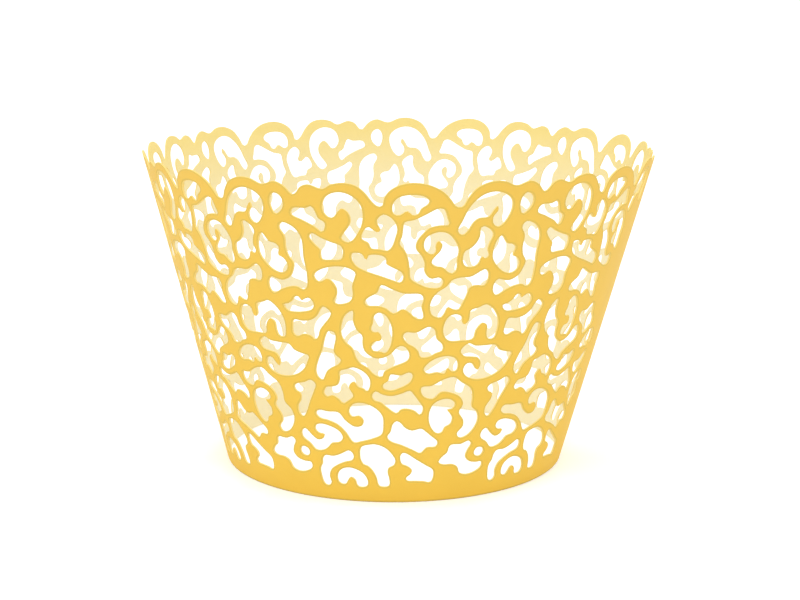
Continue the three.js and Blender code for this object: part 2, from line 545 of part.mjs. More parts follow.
function rolled({ x, y }, across) {
  const degrees = FRONT_ARCH_ANGLE + (x - FRONT_ARCH_X) / DRAWN_REPEAT * REPEAT_ANGLE;
  const around = THREE.MathUtils.degToRad(degrees);
  const angle = around + OVAL / 2 * Math.sin(2 * around);
  const share = y / DRAWN_SLANT;
  const radius = BASE_RADIUS + (TOP_RADIUS - BASE_RADIUS) * share - depth(x) - across;
  return [
    radius * Math.sin(angle) * (1 - OVAL) + LEAN * (share - 1),
    -radius * Math.cos(angle) * (1 + OVAL),
    HEIGHT * share,
  ];
}

const places = [...points.values()];
const count = places.length;
const position = [...places.flatMap((p) => rolled(p, 0)), ...places.flatMap((p) => rolled(p, CARD_ACROSS))];

const index = [];
const edges = new Set();
skin.forEach((facet) => {
  const [a, b, c] = facet.map((corner) => corner.number);
  index.push(a, b, c, a + count, c + count, b + count);
  edges.add(`${a} ${b}`).add(`${b} ${c}`).add(`${c} ${a}`);
});
edges.forEach((edge) => {
  const [a, b] = edge.split(' ').map(Number);
  if (!edges.has(`${b} ${a}`)) {
    index.push(a, a + count, b + count, a, b + count, b);
  }
});

const geometry = new THREE.BufferGeometry();
geometry.setAttribute('position', new THREE.Float32BufferAttribute(position, 3));
geometry.setIndex(index);
geometry.computeVertexNormals();

const card = new THREE.MeshStandardMaterial({ color: 0xf4c23c, roughness: 0.55, metalness: 0 });
const wrapper = new THREE.Mesh(geometry, card);
wrapper.name = 'wrapper';

const group = new THREE.Group();
group.name = 'cupcake_wrapper';
group.add(wrapper);

export default group;
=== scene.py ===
"""Cupcake wrapper: a strip of yellow card with a cut-out scroll ornament, rolled into an open cup.

One repeat of the ornament is drawn flat, with x round the strip and y up its slant.
The card is triangulated flat, given pressed edges, and rolled onto the same cone as the CAD model.
"""

import math

import bpy
import numpy as np
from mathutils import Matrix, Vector
from mathutils.geometry import delaunay_2d_cdt
from mathutils.kdtree import KDTree


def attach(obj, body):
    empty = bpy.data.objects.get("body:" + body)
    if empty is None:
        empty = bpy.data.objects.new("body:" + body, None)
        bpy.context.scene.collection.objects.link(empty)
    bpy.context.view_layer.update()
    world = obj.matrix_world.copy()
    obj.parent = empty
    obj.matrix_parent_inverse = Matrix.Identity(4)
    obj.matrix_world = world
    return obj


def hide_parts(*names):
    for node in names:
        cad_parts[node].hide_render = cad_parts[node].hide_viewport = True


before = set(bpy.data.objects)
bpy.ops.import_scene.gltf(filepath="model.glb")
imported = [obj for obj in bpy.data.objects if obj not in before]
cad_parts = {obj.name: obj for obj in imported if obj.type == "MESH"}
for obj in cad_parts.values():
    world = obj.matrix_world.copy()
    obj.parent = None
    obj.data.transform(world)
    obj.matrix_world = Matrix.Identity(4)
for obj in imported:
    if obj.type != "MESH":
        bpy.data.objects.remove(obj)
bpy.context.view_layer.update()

# Driving dimensions, in millimetres and degrees
MM = 0.001
TOP_RADIUS = 40.0
BASE_RADIUS = 26.65
HEIGHT = 46.2
CARD = 0.3
LEAN = 0.8
OVAL = 0.06
REPEATS = 7
REPEAT_ANGLE = 50.03
FRONT_ARCH_ANGLE = 3.22
FRONT_ARCH_X = 3.6

# The flat drawing: the width of one repeat and the height of the sheet.
# It stretches to the real sheet when it is rolled.
DRAWN_REPEAT = 28.27
DRAWN_SLANT = 49.25

# Both ends of the strip, with the tongue and the slit at the lap.
# Each x is counted from the start of the outer end's repeat.
LAP_GAP = 0.15
OUTER_END = 18.4
PANEL_START = 10.7
INNER_END = 11.2
INNER_RIM_START = 16.67
INNER_RIM_FOLD = 16.0
FLAP_HEIGHT = 38.5
TONGUE_LOW = 28.6
TONGUE_HIGH = 36.4
TONGUE_DIP = 1.1
TONGUE_LENGTH = 5.2
TONGUE_CORNER = 1.1
SLIT_CLEARANCE = 0.5
SLIT_SIDE = 0.05
SLIT_MARGIN = 1.2
LAP_RUN_START = 0.2
LAP_RUN_OUT = 7.0

SLANT = math.hypot(HEIGHT, TOP_RADIUS - BASE_RADIUS)
CARD_ACROSS = CARD * SLANT / HEIGHT
LAYER = CARD_ACROSS + LAP_GAP
TURN = DRAWN_REPEAT * 360 / REPEAT_ANGLE
OUTER_CELL = DRAWN_REPEAT
INNER_CELL = -(REPEATS - 1) * DRAWN_REPEAT
UNDER_LAP = OUTER_CELL - TURN
SLIT_LEFT = UNDER_LAP + OUTER_END - SLIT_SIDE
SLIT_RIGHT = UNDER_LAP + OUTER_END + TONGUE_DIP + SLIT_SIDE

# Section of a pressed edge: how far each ring is set back into the card, how deep it lies through
# the card, how far its normal leans out of the face, and the material up to the next ring.
# The first ring is the inner side of the pressed line, which line_reach sets back instead; the
# pressed line is coloured darker than the face, as painted shade along each cut edge.
FACE, SHADE_LINE, CORE, BACK = 0, 1, 2, 3
EDGE_RINGS = [
    (0.0, 0.0, 0.0, SHADE_LINE),
    (0.06, 0.02, 30.0, CORE),
    (0.015, 0.07, 60.0, CORE),
    (0.0, 0.14, 90.0, CORE),
    (0.0, 0.24, 115.0, BACK),
    (0.04, 0.3, 180.0, BACK),
]

# The pressed line takes a share of the widest of these set-backs that stays clear of other edges
LINE_TRIALS = [0.12, 0.16, 0.2, 0.24, 0.28, 0.32, 0.36]
LINE_SHARE = 0.78
CLEAR_SHARE = 0.96
EDGE_DIVISIONS = 6

# Steps of the flat drawing
KNOT_DIVISIONS = 16
OUTLINE_STEP = 0.36
STRAIGHT_STEP = 0.6
SLIT_STEP = 0.5
RIM_TOLERANCE = 0.01
GRID_STEP = 1.5
GRID_CLEARANCE = 0.45
GRID_FROM_END = 0.8
GRID_FROM_BASE = 0.9
GRID_BATCH = 2000
TINY = 1e-6

# Each surface of the card in the order of its slot: its colour on the photo's scale of 0 to 255
# at heights in millimetres, and its roughness
CARD_SURFACES = {
    # The face is lighter towards the base: painted light that offsets the shade near the floor.
    "card_face": ([(0, (247, 204, 81)), (46, (242, 199, 87))], 0.55),
    # The pressed line is darker than the face: painted shade along every cut edge.
    "card_painted_edge_shade": ([(0, (230, 196, 86)), (46, (229, 194, 90))], 0.55),
    "card_core": ([(0, (250, 220, 132)), (46, (250, 220, 132))], 0.6),
    # The back is paler towards the bottom, painted light that offsets the shade deep inside the
    # cup, and deeper yellow at the rim.
    "card_back": ([(0, (249, 238, 201)), (32, (244, 234, 198)), (45, (242, 220, 142))], 0.65),
}
CARD_SPECULAR = 0.2
MOTTLE_SCALE = 260.0
MOTTLE_DETAIL = 5.0
MOTTLE_CONTRAST = 0.035
GRAIN_SCALE = 5200.0
GRAIN_DETAIL = 3.0
GRAIN_STRENGTH = 0.22
GRAIN_DEPTH = 0.00003

# White surroundings, in metres
FLOOR_HALF = 3.0
FLOOR_DROP = 0.00002
FLOOR_WHITE = 0.86
FLOOR_ROUGHNESS = 0.9
FLOOR_SPECULAR = 0.1
FLOOR_GLOW = 0.32
WORLD_STRENGTH = 1.03
LAMP_SIZE = 0.4
LAMPS = {
    "key": ((-0.2, -0.45, 0.65), 0.75),
    "rim": ((0.3, 0.45, 0.6), 0.7),
}

# The photo's camera, fitted to the wrapper's sides, its base edge and its ornament
PHOTO_WIDTH = 800.0
PIXELS_PER_FOCAL = 1988.8
SENSOR_WIDTH = 36.0
CAMERA_PITCH = 10.862
CAMERA_AIM = (0.11, 0, 23.0)
CAMERA_DISTANCE = 297.6
CLIP_START = 0.01
CLIP_END = 50.0

# One repeat of the ornament, drawn flat; the knots of each outline lie on a smooth curve
RIM = [
    [0.0, 46.0], [0.25, 47.2], [0.9, 48.25], [2.0, 49.0], [3.4, 49.25], [5.0, 48.9], [6.4, 48.0],
    [7.3, 46.9], [8.05, 45.75], [8.65, 45.7], [9.3, 47.1], [10.2, 48.4], [11.7, 49.15],
    [13.2, 49.1], [14.7, 48.4], [16.3, 48.95], [17.4, 48.4], [18.4, 47.2], [18.8, 47.5],
    [19.4, 48.4], [20.3, 48.75], [21.85, 48.2], [22.8, 48.85], [24.2, 49.15], [25.5, 48.8],
    [26.4, 47.9], [27.4, 46.3], [27.95, 45.85], [28.27, 46.0],
]

OPENINGS = {
    "lens": [
        [1.15, 45.2], [1.2, 46.3], [1.8, 47.15], [3.0, 47.5], [4.4, 47.3], [5.0, 46.7],
        [4.85, 46.15], [4.2, 45.6], [3.9, 44.85], [3.4, 44.6], [2.7, 45.25], [1.9, 44.65],
        [1.35, 44.75],
    ],
    "comma": [
        [0.15, 44.7], [0.85, 44.35], [1.4, 43.55], [1.65, 42.6], [1.45, 41.4], [1.05, 40.0],
        [0.6, 39.5], [-0.3, 39.7], [-1.2, 39.8], [-1.5, 40.6], [-2.25, 41.15], [-2.1, 42.1],
        [-1.55, 42.9], [-1.0, 42.45], [-0.45, 42.1], [-0.15, 42.5], [-0.45, 43.3], [-0.5, 44.0],
    ],
    "stem": [
        [2.5, 43.6], [3.5, 43.9], [4.6, 44.55], [6.1, 45.5], [6.65, 45.4], [7.1, 44.1],
        [7.3, 43.15], [6.3, 43.1], [5.2, 42.75], [4.4, 41.8], [3.85, 40.8], [3.8, 39.7],
        [4.5, 38.6], [4.85, 37.5], [4.85, 36.5], [5.2, 35.7], [5.75, 35.25], [6.7, 35.4],
        [7.15, 34.9], [6.9, 34.0], [5.6, 33.95], [4.5, 34.45], [3.4, 35.3], [3.2, 36.8],
        [3.0, 38.2], [2.6, 39.5], [2.0, 40.5], [2.25, 41.6], [2.35, 42.7],
    ],
    "ring": [
        [6.3, 42.1], [7.3, 41.85], [8.1, 40.9], [8.7, 39.4], [8.6, 38.0], [8.65, 36.6],
        [8.25, 36.0], [7.75, 36.2], [7.0, 36.95], [6.0, 37.2], [5.7, 37.8], [6.1, 38.6],
        [6.6, 39.3], [6.8, 40.3], [6.25, 40.85], [6.0, 40.2], [6.05, 39.3], [5.7, 38.9],
        [5.0, 39.35], [4.7, 40.3], [5.0, 41.4],
    ],
    "scroll_left": [
        [8.45, 42.2], [8.9, 43.7], [9.35, 45.1], [10.0, 46.3], [11.0, 47.3], [12.2, 47.65],
        [13.4, 47.3], [14.3, 46.4], [14.5, 45.3], [14.2, 43.9], [13.6, 42.85], [13.1, 42.55],
        [12.5, 43.1], [12.4, 44.0], [12.9, 45.0], [12.7, 45.6], [12.3, 45.0], [11.8, 44.1],
        [10.7, 43.95], [10.1, 43.4], [9.5, 42.1], [9.0, 41.6],
    ],
    "oval": [
        [16.1, 47.25], [16.8, 46.9], [17.1, 45.9], [16.8, 44.9], [16.0, 44.2], [15.6, 45.0],
        [15.5, 46.0], [15.7, 46.8],
    ],
    "bone": [
        [11.4, 42.7], [12.3, 42.1], [12.65, 41.4], [12.3, 40.2], [12.2, 39.2], [12.45, 38.4],
        [12.1, 37.95], [11.65, 38.3], [11.2, 37.2], [10.7, 36.85], [9.8, 36.95], [9.4, 37.6],
        [9.5, 39.1], [10.2, 39.6], [10.8, 40.4], [11.1, 41.4], [11.1, 42.5],
    ],
    "eye": [
        [13.75, 41.2], [13.3, 40.6], [13.0, 39.2], [13.05, 38.0], [13.7, 36.8], [14.8, 35.75],
        [15.8, 35.5], [16.5, 36.0], [16.65, 36.9], [16.2, 37.75], [15.6, 38.1], [15.8, 39.3],
        [15.3, 39.8], [14.6, 39.95], [14.15, 40.6],
    ],
    "stalk": [
        [16.7, 43.0], [16.25, 42.3], [16.8, 41.0], [16.8, 39.2], [17.05, 38.1], [17.6, 37.1],
        [17.4, 36.0], [16.9, 35.0], [15.8, 34.35], [14.8, 34.5], [14.2, 34.7], [13.75, 34.1],
        [13.7, 33.0], [14.2, 32.3], [15.4, 33.0], [16.6, 33.5], [17.7, 33.6], [18.4, 33.2],
        [18.9, 33.6], [19.1, 35.6], [18.9, 38.0], [18.9, 40.6], [18.6, 41.6], [17.9, 42.5],
    ],
    "wedge": [
        [18.3, 45.2], [19.8, 45.3], [20.45, 45.6], [20.85, 44.8], [21.15, 43.9], [21.85, 43.3],
        [21.5, 42.0], [20.6, 42.75], [19.2, 43.6], [18.0, 44.3],
    ],
    "scroll_right": [
        [21.75, 45.5], [22.1, 46.9], [22.9, 47.6], [24.0, 47.75], [25.1, 47.2], [25.9, 46.1],
        [26.15, 44.6], [25.95, 43.0], [25.4, 41.7], [24.9, 40.9], [24.4, 40.6], [23.7, 41.1],
        [24.0, 41.9], [24.6, 42.9], [24.85, 43.8], [24.6, 44.9], [23.9, 45.5], [23.4, 45.0],
        [22.9, 44.2], [22.5, 44.1], [21.95, 44.7],
    ],
    "flag": [
        [20.25, 41.7], [21.2, 41.1], [22.4, 40.5], [23.6, 39.95], [23.75, 38.9], [23.5, 38.1],
        [22.4, 37.95], [21.3, 37.95], [21.1, 38.6], [21.15, 39.3], [20.5, 40.1], [19.9, 41.2],
    ],
    "boomerang": [
        [-3.4, 39.0], [-2.3, 38.9], [-2.0, 38.2], [-1.7, 38.15], [-1.5, 38.75], [0.0, 38.7],
        [0.45, 38.2], [0.45, 37.55], [1.3, 36.9], [2.25, 36.25], [2.45, 35.5], [2.15, 34.8],
        [1.2, 35.15], [-0.2, 35.75], [-2.0, 36.5], [-3.1, 37.3], [-3.5, 38.4],
    ],
    "crook": [
        [20.05, 35.4], [20.5, 34.6], [21.0, 34.7], [21.6, 35.1], [22.1, 34.9], [22.75, 33.8],
        [22.75, 32.7], [22.35, 31.7], [22.7, 31.35], [24.2, 31.75], [24.65, 32.6], [24.65, 34.2],
        [24.95, 35.3], [25.1, 36.1], [24.3, 36.75], [22.9, 36.95], [21.4, 36.6], [20.4, 36.0],
    ],
    "star_high": [
        [-0.1, 34.35], [1.2, 33.7], [2.6, 33.1], [4.6, 32.95], [4.95, 32.3], [4.75, 31.1],
        [5.0, 30.0], [5.0, 29.3], [4.2, 29.4], [3.4, 30.2], [2.5, 30.8], [1.4, 30.15], [0.4, 30.95],
        [-0.5, 31.25], [-1.8, 31.3], [-2.1, 31.8], [-1.6, 32.5], [-0.6, 33.2],
    ],
    "boot": [
        [5.85, 31.0], [6.1, 32.3], [6.8, 33.3], [7.7, 34.0], [8.3, 34.9], [9.2, 35.25],
        [10.5, 35.3], [11.3, 35.75], [12.2, 36.35], [12.7, 35.8], [12.7, 34.5], [12.3, 33.9],
        [11.5, 34.05], [10.6, 33.8], [10.2, 32.5], [9.7, 31.1], [9.4, 30.5], [8.7, 30.6],
        [8.05, 30.95], [7.6, 29.9], [7.2, 29.4], [6.2, 29.8],
    ],
    "kidney": [
        [15.4, 30.6], [15.9, 29.8], [17.0, 29.7], [18.3, 29.9], [19.3, 30.3], [19.6, 31.1],
        [19.1, 31.95], [18.5, 31.8], [18.0, 31.45], [17.7, 32.0], [17.2, 32.05], [16.8, 31.4],
        [16.1, 30.85],
    ],
    "spoon": [
        [-0.45, 30.2], [-1.0, 29.7], [-1.15, 28.6], [-1.4, 27.7], [-1.1, 27.25], [-0.5, 27.3],
        [-0.1, 26.6], [-0.25, 25.9], [-0.9, 25.8], [-1.4, 25.1], [-1.2, 24.4], [-0.3, 24.3],
        [0.35, 24.1], [0.9, 24.9], [1.2, 26.3], [1.15, 28.0], [0.65, 29.4], [0.1, 30.05],
    ],
    "sickle": [
        [-3.7, 30.4], [-4.6, 29.7], [-5.15, 28.3], [-5.25, 26.7], [-4.8, 25.6], [-3.9, 24.7],
        [-3.45, 23.2], [-2.9, 22.35], [-1.9, 21.65], [-1.2, 20.8], [-0.1, 20.35], [0.25, 21.2],
        [1.4, 21.95], [3.3, 22.95], [3.5, 23.8], [2.9, 24.95], [2.2, 25.1], [1.0, 23.8],
        [-0.2, 23.2], [-1.1, 23.25], [-2.3, 24.2], [-2.6, 25.4], [-2.6, 26.6], [-3.3, 27.5],
        [-3.7, 28.8],
    ],
    "star_middle": [
        [2.65, 26.7], [3.0, 27.2], [4.3, 27.15], [5.9, 28.0], [6.6, 27.5], [6.95, 26.1],
        [7.75, 25.2], [7.8, 24.3], [6.9, 23.9], [6.2, 23.45], [5.05, 23.4], [4.7, 24.3],
        [4.1, 25.0], [3.2, 25.6],
    ],
    "crown": [
        [13.0, 30.95], [12.2, 30.6], [11.1, 30.2], [11.05, 29.4], [10.95, 28.6], [10.4, 28.1],
        [10.05, 28.6], [9.9, 29.4], [9.1, 29.75], [8.3, 29.4], [7.8, 28.2], [7.85, 26.8],
        [8.6, 25.8], [10.2, 25.7], [11.8, 25.85], [12.1, 27.2], [12.9, 28.2], [13.6, 27.8],
        [13.7, 26.5], [14.0, 25.7], [14.8, 25.65], [15.1, 26.6], [15.1, 28.2], [14.6, 29.5],
        [13.8, 30.5],
    ],
    "sail": [
        [20.85, 30.8], [21.75, 30.0], [21.5, 29.2], [20.7, 28.1], [20.1, 27.2], [19.8, 26.2],
        [19.35, 25.7], [18.8, 26.2], [17.8, 26.4], [16.8, 25.95], [16.3, 26.3], [16.35, 27.7],
        [16.6, 28.45], [17.8, 28.35], [19.0, 28.6], [19.9, 29.3], [20.5, 30.4],
    ],
    "feather": [
        [21.3, 27.1], [22.0, 26.95], [22.15, 26.2], [21.75, 24.1], [22.0, 23.45], [22.65, 22.8],
        [22.3, 22.1], [21.3, 21.5], [20.6, 20.9], [20.15, 20.0], [19.8, 19.4], [19.2, 19.9],
        [19.0, 20.8], [19.5, 22.5], [20.2, 24.1], [20.8, 26.2],
    ],
    "wave": [
        [11.4, 25.15], [12.3, 24.7], [13.7, 24.6], [15.3, 24.5], [16.0, 23.7], [17.2, 23.25],
        [18.1, 23.0], [17.8, 22.1], [17.2, 21.0], [16.1, 20.05], [14.6, 19.5], [13.0, 19.45],
        [11.6, 20.05], [11.05, 21.0], [11.4, 21.95], [12.1, 22.0], [12.7, 21.2], [13.15, 20.85],
        [13.5, 21.7], [13.0, 22.8], [12.0, 23.05], [10.95, 23.25], [10.4, 24.1],
    ],
    "bean": [
        [5.55, 21.4], [6.1, 22.35], [7.2, 23.1], [8.6, 23.35], [9.7, 22.95], [10.15, 22.0],
        [10.05, 21.1], [9.5, 20.95], [8.75, 21.55], [8.4, 20.7], [7.4, 20.95], [6.1, 20.8],
    ],
    "pebble": [
        [1.1, 20.7], [2.5, 20.55], [3.6, 21.0], [4.05, 20.6], [3.7, 19.5], [2.6, 18.75],
        [1.1, 18.25], [0.1, 18.6], [0.15, 19.15], [0.8, 19.7], [0.95, 20.4],
    ],
    "hound": [
        [24.4, 21.65], [23.3, 21.3], [22.45, 20.95], [22.4, 19.9], [22.0, 18.8], [21.2, 18.45],
        [20.3, 18.3], [19.85, 17.3], [20.3, 16.85], [21.1, 17.1], [22.0, 16.6], [22.6, 15.95],
        [23.2, 16.3], [24.1, 17.2], [23.8, 17.9], [23.55, 18.5], [23.9, 19.25], [24.4, 19.45],
        [24.9, 18.7], [25.7, 18.4], [26.1, 18.0], [26.5, 18.8], [26.5, 19.9], [25.8, 20.95],
    ],
    "leaf": [
        [18.0, 19.2], [17.0, 18.75], [15.5, 18.25], [15.2, 17.8], [15.5, 17.25], [16.1, 16.9],
        [16.05, 15.9], [15.4, 14.8], [15.45, 13.7], [16.0, 13.2], [16.7, 14.1], [17.4, 15.7],
        [18.3, 17.6], [18.65, 18.6],
    ],
    "arch": [
        [5.4, 18.6], [6.8, 18.8], [8.3, 19.65], [9.8, 20.0], [11.0, 19.1], [12.5, 18.0],
        [12.95, 16.6], [13.05, 15.1], [14.0, 14.1], [14.35, 12.9], [13.9, 11.5], [12.9, 10.45],
        [11.8, 10.2], [11.3, 10.9], [12.1, 12.0], [12.05, 13.0], [11.2, 14.4], [11.7, 15.5],
        [11.2, 16.7], [9.9, 17.5], [8.2, 17.8], [7.1, 16.8], [6.0, 17.05], [5.5, 17.6],
    ],
    "star_low": [
        [-0.95, 18.0], [-1.45, 17.3], [-1.15, 16.65], [-0.3, 16.35], [0.6, 15.6], [1.5, 14.85],
        [2.05, 14.6], [2.6, 15.2], [3.5, 15.3], [4.6, 14.95], [5.4, 14.3], [5.75, 15.3],
        [5.1, 16.4], [4.4, 17.4], [3.8, 18.1], [2.6, 17.65], [1.2, 17.3], [-0.1, 17.55],
    ],
    "ring_low": [
        [8.4, 16.55], [9.6, 16.5], [10.4, 15.8], [10.2, 15.1], [9.35, 14.85], [9.75, 14.3],
        [10.2, 13.6], [10.05, 12.6], [9.2, 12.1], [8.85, 11.3], [8.1, 11.2], [7.3, 12.0],
        [6.8, 13.2], [6.75, 14.5], [7.2, 15.8],
    ],
    "volute": [
        [25.0, 16.1], [26.3, 15.85], [27.6, 15.0], [28.25, 14.0], [28.35, 12.8], [28.1, 11.2],
        [26.8, 10.5], [25.0, 9.95], [23.9, 9.7], [23.4, 10.2], [22.8, 11.2], [21.6, 12.4],
        [20.2, 13.0], [18.8, 13.3], [18.25, 13.9], [18.6, 14.5], [20.2, 14.4], [21.8, 14.35],
        [22.7, 13.2], [24.1, 12.25], [25.2, 12.45], [25.5, 13.3], [24.9, 14.05], [23.8, 13.9],
        [23.4, 14.7], [24.0, 15.8],
    ],
    "kite": [
        [2.05, 13.3], [1.5, 12.8], [1.2, 11.6], [0.7, 10.75], [1.2, 10.1], [2.9, 9.45], [4.6, 8.65],
        [5.8, 8.1], [6.7, 8.95], [8.1, 9.05], [8.35, 9.7], [7.2, 10.8], [6.4, 11.5], [5.7, 12.0],
        [4.3, 11.75], [3.3, 12.2], [2.6, 13.0],
    ],
    "snail": [
        [16.05, 11.25], [15.4, 10.7], [15.45, 9.85], [16.6, 9.0], [17.6, 8.0], [18.9, 8.15],
        [19.7, 8.7], [20.3, 9.35], [21.6, 9.65], [22.15, 10.4], [21.6, 11.4], [20.3, 12.05],
        [18.9, 12.3], [18.0, 12.0], [17.85, 11.3], [18.4, 10.8], [19.2, 10.7], [19.0, 10.0],
        [18.1, 9.65], [17.2, 10.2],
    ],
    "dot": [
        [15.4, 8.25], [16.1, 8.0], [16.3, 7.4], [15.9, 6.85], [15.2, 6.85], [14.75, 7.2],
        [14.7, 7.7], [15.0, 8.15],
    ],
    "bird": [
        [10.6, 9.1], [12.2, 9.1], [13.4, 9.5], [13.9, 9.0], [13.4, 8.0], [13.2, 7.0], [13.9, 6.15],
        [15.2, 5.8], [16.3, 5.75], [16.4, 5.0], [15.4, 4.3], [13.8, 4.0], [12.6, 4.4], [12.1, 5.4],
        [11.2, 5.9], [9.6, 6.0], [8.85, 6.4], [9.3, 7.2], [10.1, 7.9], [10.3, 8.8],
    ],
    "bell": [
        [-1.2, 9.5], [-2.4, 9.35], [-3.2, 9.05], [-3.45, 8.6], [-3.45, 7.0], [-3.0, 6.2],
        [-2.3, 5.95], [-1.5, 5.1], [-0.95, 4.0], [-0.75, 3.1], [-0.5, 2.7], [0.9, 2.7], [1.1, 3.1],
        [1.0, 4.0], [0.75, 5.0], [0.9, 5.7], [1.75, 6.2], [1.95, 6.9], [1.5, 7.8], [0.7, 8.7],
        [-0.1, 9.2],
    ],
    "blade": [
        [3.1, 8.15], [2.75, 7.7], [3.0, 6.4], [3.9, 6.0], [4.65, 5.3], [4.5, 4.7], [3.75, 4.0],
        [3.95, 3.6], [5.2, 3.5], [6.6, 3.4], [7.7, 3.2], [8.05, 3.6], [8.05, 5.1], [6.6, 6.1],
        [4.9, 7.2], [3.7, 8.0],
    ],
    "fin": [
        [22.9, 8.3], [22.2, 7.95], [21.2, 7.45], [20.3, 7.2], [19.0, 7.2], [18.5, 6.6], [18.4, 5.8],
        [17.95, 5.0], [18.0, 3.6], [18.4, 2.5], [19.1, 2.3], [19.6, 2.8], [19.4, 3.9], [19.8, 5.0],
        [20.7, 5.7], [22.1, 6.4], [23.4, 6.8], [23.7, 7.4], [23.4, 8.1],
    ],
    "horseshoe": [
        [23.1, 5.5], [21.9, 5.3], [21.1, 4.7], [20.8, 3.9], [20.95, 3.1], [21.5, 2.75], [22.1, 2.8],
        [22.5, 3.4], [22.9, 3.95], [23.3, 3.95], [23.85, 3.5], [24.0, 2.9], [24.3, 2.5],
        [25.6, 2.6], [25.85, 3.2], [25.5, 4.2], [24.8, 4.9],
    ],
}

# The arch opening, cut short where the plain panel of the outer end begins
ARCH_START = [
    [5.4, 18.6], [6.8, 18.8], [8.3, 19.65], [9.4, 19.8], [9.3, 18.9], [8.2, 17.8], [7.1, 16.8],
    [6.0, 17.05], [5.5, 17.6],
]


# Outlines


def spline(knots, closed):
    """Points every OUTLINE_STEP along a centripetal Catmull-Rom curve through the knots."""
    knots = np.array(knots, float)
    if closed:
        knots = np.vstack([knots[-1], knots, knots[:2]])
    else:
        knots = np.vstack([2 * knots[0] - knots[1], knots, 2 * knots[-1] - knots[-2]])
    fine = []
    for p0, p1, p2, p3 in zip(knots, knots[1:], knots[2:], knots[3:]):
        t1 = max(np.linalg.norm(p1 - p0), TINY) ** 0.5
        t2 = t1 + max(np.linalg.norm(p2 - p1), TINY) ** 0.5
        t3 = t2 + max(np.linalg.norm(p3 - p2), TINY) ** 0.5
        t = np.linspace(t1, t2, KNOT_DIVISIONS, endpoint=False)[:, None]
        a1 = (t1 - t) / t1 * p0 + t / t1 * p1
        a2 = (t2 - t) / (t2 - t1) * p1 + (t - t1) / (t2 - t1) * p2
        a3 = (t3 - t) / (t3 - t2) * p2 + (t - t2) / (t3 - t2) * p3
        b1 = (t2 - t) / t2 * a1 + t / t2 * a2
        b2 = (t3 - t) / (t3 - t1) * a2 + (t - t1) / (t3 - t1) * a3
        fine.append((t2 - t) / (t2 - t1) * b1 + (t - t1) / (t2 - t1) * b2)
    fine = np.vstack(fine + [knots[-2:-1]])
    return evenly(fine, OUTLINE_STEP)


def evenly(line, step):
    """The same line with its points at even distances; a closed line loses its repeated end."""
    run = np.concatenate([[0.0], np.cumsum(np.linalg.norm(np.diff(line, axis=0), axis=1))])
    steps = max(4, round(run[-1] / step))
    at = np.linspace(0.0, run[-1], steps + 1)
    points = np.stack([np.interp(at, run, line[:, 0]), np.interp(at, run, line[:, 1])], axis=1)
    closed = np.linalg.norm(line[0] - line[-1]) < TINY
    return points[:-1] if closed else points


def straight(corners, step):
    """A polyline through the corners, divided evenly, without its last point."""
    corners = np.array(corners, float)
    pieces = [evenly(np.stack([a, b]), step)[:-1] for a, b in zip(corners, corners[1:])]
    return np.vstack(pieces)


def area(loop):
    """The area of a closed loop, negative where it runs clockwise."""
    x, y = loop[:, 0], loop[:, 1]
    return 0.5 * float(np.sum(x * np.roll(y, -1) - np.roll(x, -1) * y))


def inside(loop, points):
    """Which of the points lie inside the closed loop."""
    x, y = points[:, 0][:, None], points[:, 1][:, None]
    x1, y1 = loop[:, 0][None], loop[:, 1][None]
    x2, y2 = np.roll(x1, -1, axis=1), np.roll(y1, -1, axis=1)
    crosses = (y1 > y) != (y2 > y)
    rise = np.where(y2 == y1, 1.0, y2 - y1)
    return (crosses & (x < (x2 - x1) * (y - y1) / rise + x1)).sum(axis=1) % 2 == 1


def strip_openings():
    """Every opening of the whole strip, as closed loops."""
    drawn = {name: spline(knots, True) for name, knots in OPENINGS.items()}
    loops = [
        loop + (cell * DRAWN_REPEAT, 0) for cell in range(2 - REPEATS, 1) for loop in drawn.values()
    ]
    loops += [loop + (OUTER_CELL, 0) for loop in drawn.values() if loop[:, 0].max() < PANEL_START]
    loops += [drawn["scroll_left"] + (OUTER_CELL, 0), spline(ARCH_START, True) + (OUTER_CELL, 0)]
    past_slit = SLIT_RIGHT + SLIT_MARGIN - INNER_CELL
    loops += [loop + (INNER_CELL, 0) for loop in drawn.values() if loop[:, 0].min() > past_slit]
    low, high = TONGUE_LOW - SLIT_CLEARANCE, TONGUE_HIGH + SLIT_CLEARANCE
    loops.append(straight([
        (SLIT_LEFT, low),
        (SLIT_RIGHT, low),
        (SLIT_RIGHT, high),
        (SLIT_LEFT, high),
        (SLIT_LEFT, low),
    ], SLIT_STEP))
    return loops


def strip_outline():
    """The outer edge of the flat card: base, outer end with its tongue, rim and inner end."""
    end = OUTER_CELL + OUTER_END
    tip = end + TONGUE_LENGTH
    rim_start = UNDER_LAP + INNER_RIM_START - RIM_TOLERANCE
    rim_end = end + RIM_TOLERANCE
    knots = [(x + cell * DRAWN_REPEAT, y) for cell in range(1 - REPEATS, 2) for x, y in RIM[:-1]]
    knots = [(x, y) for x, y in knots if rim_start <= x <= rim_end]
    rim = spline(knots, False)[::-1]
    rim[:, 1] = np.minimum(rim[:, 1], DRAWN_SLANT)
    outer = straight([
        (UNDER_LAP + INNER_END, 0.0),
        (end, 0.0),
        (end, TONGUE_LOW),
        (tip - TONGUE_CORNER, TONGUE_LOW),
        (tip, TONGUE_LOW + TONGUE_CORNER),
        (tip, TONGUE_HIGH - TONGUE_CORNER),
        (tip - TONGUE_CORNER, TONGUE_HIGH),
        (end, TONGUE_HIGH),
        tuple(rim[0]),
    ], STRAIGHT_STEP)
    inner = straight([
        tuple(rim[-1]),
        (UNDER_LAP + INNER_RIM_FOLD, FLAP_HEIGHT),
        (UNDER_LAP + INNER_END, FLAP_HEIGHT),
        (UNDER_LAP + INNER_END, 0.0),
    ], STRAIGHT_STEP)
    return np.vstack([outer, rim[:-1], inner])


